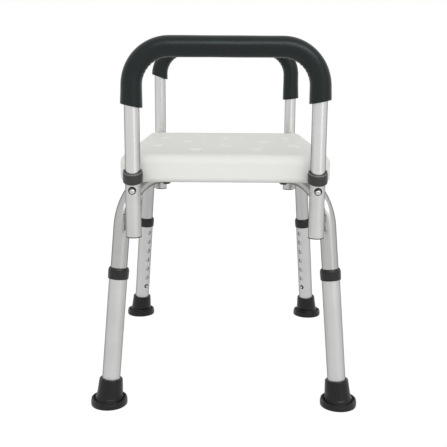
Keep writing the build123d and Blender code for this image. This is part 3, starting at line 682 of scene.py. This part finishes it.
def grip_shell(side):
    """Sleeve carried along the arm: rings lean from square to the cut's slant near each end.

    Each ring point is taken further along the route by lean x radius x cos(turn). The radius swells over
    the last 40 mm, most on the outer side, waves slowly by 0.1 mm, and ripples by 0.3 mm inside the bends.
    """
    quarter = ARM_BEND_RADIUS * math.pi / 2
    whole = 2 * quarter + 2 * (ARM_HALF_SPAN - ARM_BEND_RADIUS)
    rear_height, rear_slant = GRIP_CUTS[side]["rear"]
    front_height, front_slant = GRIP_CUTS[side]["front"]
    rise = ARM_RISE[side]
    start, end = cut_length(rear_height - rise), whole - cut_length(front_height - rise)
    edge = GRIP_EDGE
    outer = np.linspace(start + edge, end - edge, GRIP_RINGS)
    t = np.linspace(0, np.pi / 2, 6)[1:]
    face = np.linspace(GRIP_RADIUS - edge - 0.0004, GRIP_BORE, 4)
    bore = np.linspace(end, start, 120)[1:-1]
    length = np.concatenate([
        outer, end - edge + edge * np.sin(t), np.full(4, end), bore,
        np.full(4, start), start + edge - edge * np.sin(t[::-1]),
    ])
    radius = np.concatenate([
        np.full(GRIP_RINGS, GRIP_RADIUS), GRIP_RADIUS - edge + edge * np.cos(t), face,
        np.full(len(bore), GRIP_BORE), face[::-1], GRIP_RADIUS - edge + edge * np.cos(t[::-1]),
    ])
    skin = np.clip((radius - GRIP_BORE) / (GRIP_RADIUS - GRIP_BORE), 0, 1)[:, None]
    turn = np.linspace(0, 2 * np.pi, 64, endpoint=False)
    near_rear = np.clip(1 - (length - start) / SLANT_LENGTH, 0, 1)[:, None] ** 2
    near_front = np.clip(1 - (end - length) / SLANT_LENGTH, 0, 1)[:, None] ** 2
    lean = near_rear * math.tan(math.radians(rear_slant)) - near_front * math.tan(math.radians(front_slant))
    to_cut = np.clip(1 - np.minimum(length - start, end - length) / FLARE_LENGTH, 0, 1)[:, None]
    flare = to_cut**1.4 * (0.055 + 0.035 * np.cos(turn))
    bend = np.sin(2 * arm_route(length)[2])[:, None] ** 2
    inside = np.clip(-np.cos(turn), 0, 1) ** 2
    wave = WAVE_DEPTH * np.sin(length / 0.0117 + 1.3 * SIDES[side])[:, None] * np.sin(2 * turn + 0.8)
    ripple = RIPPLE_DEPTH * np.sin(2 * np.pi * length / RIPPLE_PITCH)[:, None] * bend * inside
    radius = radius[:, None] * (1 + skin * flare) + skin * (wave + ripple)
    place, normal, _ = arm_route(length[:, None] + lean * radius * np.cos(turn))
    x = place[..., 0] + radius * np.cos(turn) * normal[..., 0]
    y = SIDES[side] * ARM_OFFSET + radius * np.sin(turn)
    z = rise + place[..., 1] + radius * np.cos(turn) * normal[..., 1]
    return closed_shell(np.stack([x, y, z], axis=-1), loop_rows=True)


def foam_finish():
    """Foam: cells from a fine cell pattern, pores where the pattern is deepest, and slow changes of shade."""
    material, tree, shader, place = new_finish(
        "charcoal_foam", {"Specular IOR Level": 0.26, "Specular Tint": FOAM_SHEEN}
    )
    cells = shader_node(
        tree, "ShaderNodeTexVoronoi", {"Vector": place, "Scale": FOAM_CELLS}
    ).outputs["Distance"]
    grain = noise(tree, place, 420.0, 4.0)
    mottled = maths(tree, "ADD", grain, noise(tree, place, 18.0, 3.0))
    colour = mixed_colour(tree, mapped(tree, mottled, 0.7, 1.3, 0.0, 1.0), FOAM_DARK, FOAM_PALE)
    gloss = mapped(tree, mottled, 0.7, 1.3, 0.28, 0.38)
    relief = maths(tree, "MULTIPLY_ADD", cells, 0.5, grain)
    bump = shader_node(
        tree, "ShaderNodeBump", {"Strength": 0.6, "Distance": FOAM_DEPTH, "Height": relief}
    ).outputs[0]
    tree.links.new(colour, shader["Base Color"])
    tree.links.new(gloss, shader["Roughness"])
    tree.links.new(bump, shader["Normal"])
    return material


charcoal_foam = foam_finish()
for side in SIDES:
    name = f"grip_{side}"
    sleeve = shell_piece(name + "_sleeve", [grip_shell(side)], charcoal_foam, f"{side}_arm")
    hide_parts(name)

# Snap buttons: plated steel pins with a domed end that stick out through the holes in the legs and the
# sockets. The leg buttons are dark, which paints the shade and dark reflection on the domes' shoulders,
# and a bright plated cap on each dome's tip is a painted highlight.
LEG_BUTTON_HEIGHT = 0.0665
LEG_BUTTON_TIP = 0.0158
ARM_BUTTON_HEIGHT = 0.340
TIP_REACH = np.array([0.0022, 0.0022, 0.0020, 0.0015, 0.0008])
TIP_HEIGHT = np.array([-0.0005, -0.00005, 0.00008, 0.00016, 0.0002])
plated_button = metal_finish(
    "plated_button", (0.55, 0.55, 0.54, 1), roughness=0.22, line_depth=0.00001, edge_tint=(0.9, 0.9, 0.9, 1)
)
# Dark base colour of the leg buttons: painted shade and dark reflection.
dark_shaded_button = metal_finish(
    "dark_shaded_button", (0.07, 0.07, 0.07, 1), roughness=0.3, line_depth=0.00001, edge_tint=(0.5, 0.5, 0.5, 1)
)


def leg_button_place(corner):
    """Point on the leg's axis level with its button, the way the button faces, and the way up the leg."""
    across, _, along = leg_frame(corner)
    return leg_point(corner, LEG_BUTTON_HEIGHT), -across, along


def arm_button_place(corner):
    """Point on the socket's axis level with its button, the way the button faces, and the way up."""
    forward, sideways = CORNERS[corner]
    middle = np.array([forward * ARM_HALF_SPAN, sideways * ARM_OFFSET, ARM_BUTTON_HEIGHT])
    return middle, np.array([0, float(sideways), 0]), np.array([0, 0, 1.0])


def button_highlight_shell(middle, facing, upward):
    """Low dome turned about the button's axis from radii, each at its height along the axis: a painted
    highlight.
    """
    turn = np.linspace(0, 2 * np.pi, 24, endpoint=False)[None, :, None]
    ring = np.cos(turn) * upward + np.sin(turn) * np.cross(facing, upward)
    along = (LEG_BUTTON_TIP + TIP_HEIGHT)[:, None, None] * facing
    return closed_shell(middle + along + TIP_REACH[:, None, None] * ring)


for corner in CORNERS:
    finish_nodes(dark_shaded_button, f"leg_button_{corner}")
    finish_nodes(plated_button, f"arm_button_{corner}")
    # A bright cap on each leg button's dome: a painted highlight.
    highlight_cap = button_highlight_shell(*leg_button_place(corner))
    shell_piece(f"leg_button_painted_highlight_{corner}", [highlight_cap], plated_button, f"leg_button_{corner}")

# Hairpin springs: strips of spring steel bent to a U inside the tubes. The far leaf bears on the tube's
# wall, and the near leaf lies under the button and goes in with it.
CLIP_THICKNESS = 0.0006
CLIP_HALF_WIDTH = 0.004
CLIP_ABOVE = 0.006
CLIP_BELOW = 0.010
LEAF_STEPS = 8
BOW_STEPS = 24
# Where each spring's outer faces lie, from the tube's axis towards the button
LEG_CLIP = (-0.010625, 0.008595)
ARM_CLIP = (-0.00728, 0.004902)
spring_leaf = metal_finish(
    "spring_leaf", (0.36, 0.36, 0.37, 1), roughness=0.34, line_depth=0.00002, edge_tint=(0.8, 0.8, 0.8, 1)
)


def hairpin_shell(middle, facing, upward, far, near):
    """Strip down the near leaf, round a half circle and up the far leaf, with a rounded flat section.

    The section is a superellipse, |cos| and |sin| to the power 0.25, half a thickness by half a width.
    """
    leaf = np.linspace(CLIP_ABOVE, -CLIP_BELOW, LEAF_STEPS)
    angle = np.linspace(0, math.pi, BOW_STEPS + 2)[1:-1]
    bow = (near - far - CLIP_THICKNESS) / 2
    round_bow = np.stack([np.cos(angle), -np.sin(angle)], axis=-1)
    normal = np.concatenate([[[1.0, 0]] * LEAF_STEPS, round_bow, [[-1.0, 0]] * LEAF_STEPS])
    height = np.concatenate([leaf, np.full(BOW_STEPS, -CLIP_BELOW), leaf[::-1]])
    line = bow * normal + np.stack([np.full(len(height), (near + far) / 2), height], axis=-1)
    turn = np.linspace(0, 2 * np.pi, 16, endpoint=False) + np.pi / 16
    thick = CLIP_THICKNESS / 2 * np.sign(np.cos(turn)) * np.abs(np.cos(turn)) ** 0.25
    wide = CLIP_HALF_WIDTH * np.sign(np.sin(turn)) * np.abs(np.sin(turn)) ** 0.25
    place = line[:, None] + thick[None, :, None] * normal[:, None]
    across = wide[None, :, None] * np.cross(facing, upward)
    return closed_shell(middle + place[..., :1] * facing + place[..., 1:] * upward + across)


def fit_hairpin(name, where, faces):
    """One spring from its carrier's far wall to its button."""
    middle, facing, upward = where
    far, near = faces
    strip = hairpin_shell(middle, facing, upward, far, near)
    leaf = shell_piece(name + "_leaf", [strip], spring_leaf, None)
    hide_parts(name)
    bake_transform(leaf)


for corner in CORNERS:
    fit_hairpin(f"leg_clip_{corner}", leg_button_place(corner), LEG_CLIP)
    fit_hairpin(f"arm_clip_{corner}", arm_button_place(corner), ARM_CLIP)

# Studio: a white floor that keeps a faint shadow, a white backdrop that metal shows too, and a broad
# soft light in front. A light above and a strip on the right only make the sheen on grips and tubes.
# The camera is placed as for the photograph.
FLOOR_HALF = 6.0
FLOOR_SHOWN = 0.85
FLOOR_GLOW = 1.12
CAMERA_PLACE = (-0.0024, -1.2855, 0.5043)
CAMERA_TURN = math.radians(-0.013)
CAMERA_DIP = math.radians(11.126)
CAMERA_ROLL = math.radians(0.38)
floor_mesh = bpy.data.meshes.new("studio_floor")
floor_mesh.from_pydata(
    [(FLOOR_HALF * x, FLOOR_HALF * y, 0) for x, y in ((-1, -1), (1, -1), (1, 1), (-1, 1))], [], [(0, 1, 2, 3)]
)
floor = bpy.data.objects.new("studio_floor", floor_mesh)
bpy.context.scene.collection.objects.link(floor)


def shown_rays(tree):
    """1 for rays from the camera and for mirrored or refracted rays, which all show plain white."""
    seen = tree.nodes.new("ShaderNodeLightPath").outputs
    mirrored = maths(tree, "MAXIMUM", seen["Is Glossy Ray"], seen["Is Transmission Ray"])
    return maths(tree, "MAXIMUM", seen["Is Camera Ray"], mirrored)


floor_paper = bpy.data.materials.new("floor_paper")
floor_paper.use_nodes = True
tree = floor_paper.node_tree
tree.nodes.clear()
paper = shader_node(tree, "ShaderNodeBsdfDiffuse", {"Color": (0.6, 0.6, 0.6, 1)}).outputs[0]
white = shader_node(tree, "ShaderNodeEmission", {"Color": (1, 1, 1, 1), "Strength": FLOOR_GLOW}).outputs[0]
share = maths(tree, "MULTIPLY", shown_rays(tree), FLOOR_SHOWN)
mixed = shader_node(tree, "ShaderNodeMixShader", {0: share, 1: paper, 2: white}).outputs[0]
shader_node(tree, "ShaderNodeOutputMaterial", {"Surface": mixed})
floor_mesh.materials.append(floor_paper)

world = bpy.data.worlds.new("studio")
bpy.context.scene.world = world
world.use_nodes = True
tree = world.node_tree
tree.nodes.clear()
ray = tree.nodes.new("ShaderNodeTexCoord").outputs["Generated"]
facing = shader_node(tree, "ShaderNodeSeparateXYZ", {0: ray}).outputs
from_front = mapped(tree, facing["Y"], -0.6, 0.9, 0.61, 0.3)
broad = maths(tree, "ADD", maths(tree, "ABSOLUTE", facing["X"]), 0.45)
surround = maths(tree, "MULTIPLY_ADD", broad, 0.33, from_front)
fill = shader_node(tree, "ShaderNodeBackground", {"Color": (1, 1, 1, 1), "Strength": surround}).outputs[0]
backdrop = shader_node(tree, "ShaderNodeBackground", {"Color": (1, 1, 1, 1), "Strength": 1.0}).outputs[0]
whole = shader_node(tree, "ShaderNodeMixShader", {0: shown_rays(tree), 1: fill, 2: backdrop}).outputs[0]
shader_node(tree, "ShaderNodeOutputWorld", {"Surface": whole})


def soft_light(name, place, aim, width, height, power):
    """Area light at a place, turned to aim at a point, with its height in the upright plane."""
    lamp = bpy.data.lights.new(name, "AREA")
    lamp.shape = "RECTANGLE"
    lamp.size, lamp.size_y, lamp.energy = width, height, power
    held = bpy.data.objects.new(name, lamp)
    away = np.array(place) - np.array(aim)
    away /= np.linalg.norm(away)
    side = np.cross([0, 0, 1.0], away)
    side /= np.linalg.norm(side)
    turned = np.eye(4)
    turned[:3] = np.stack([side, np.cross(away, side), away, place], axis=1)
    held.matrix_world = Matrix(turned.tolist())
    bpy.context.scene.collection.objects.link(held)
    return held


front_light = soft_light("front_light", (0.2, -2.6, 0.6), (0, 0, 0.3), width=3.0, height=3.0, power=28.5)
front_light.visible_glossy = False
sheen_light = soft_light("sheen_light", (0.7, -1.9, 2.0), (0, 0, 0.4), width=2.4, height=0.8, power=30.0)
sheen_light.visible_diffuse = False
strip_light = soft_light("strip_light", (1.1, -1.7, 0.6), (0, 0, 0.35), width=0.7, height=1.6, power=2.0)
strip_light.visible_diffuse = False

lens = bpy.data.cameras.new("photo_camera")
lens.sensor_width = 36.0
lens.lens = 58.52
lens.shift_y = -0.0097
camera = bpy.data.objects.new("photo_camera", lens)
camera.matrix_world = (
    Matrix.Translation(CAMERA_PLACE)
    @ Matrix.Rotation(CAMERA_TURN, 4, "Z")
    @ Matrix.Rotation(math.pi / 2 - CAMERA_DIP, 4, "X")
    @ Matrix.Rotation(CAMERA_ROLL, 4, "Z")
)
bpy.context.scene.collection.objects.link(camera)
bpy.context.scene.camera = camera
bpy.context.scene.view_settings.view_transform = "Standard"
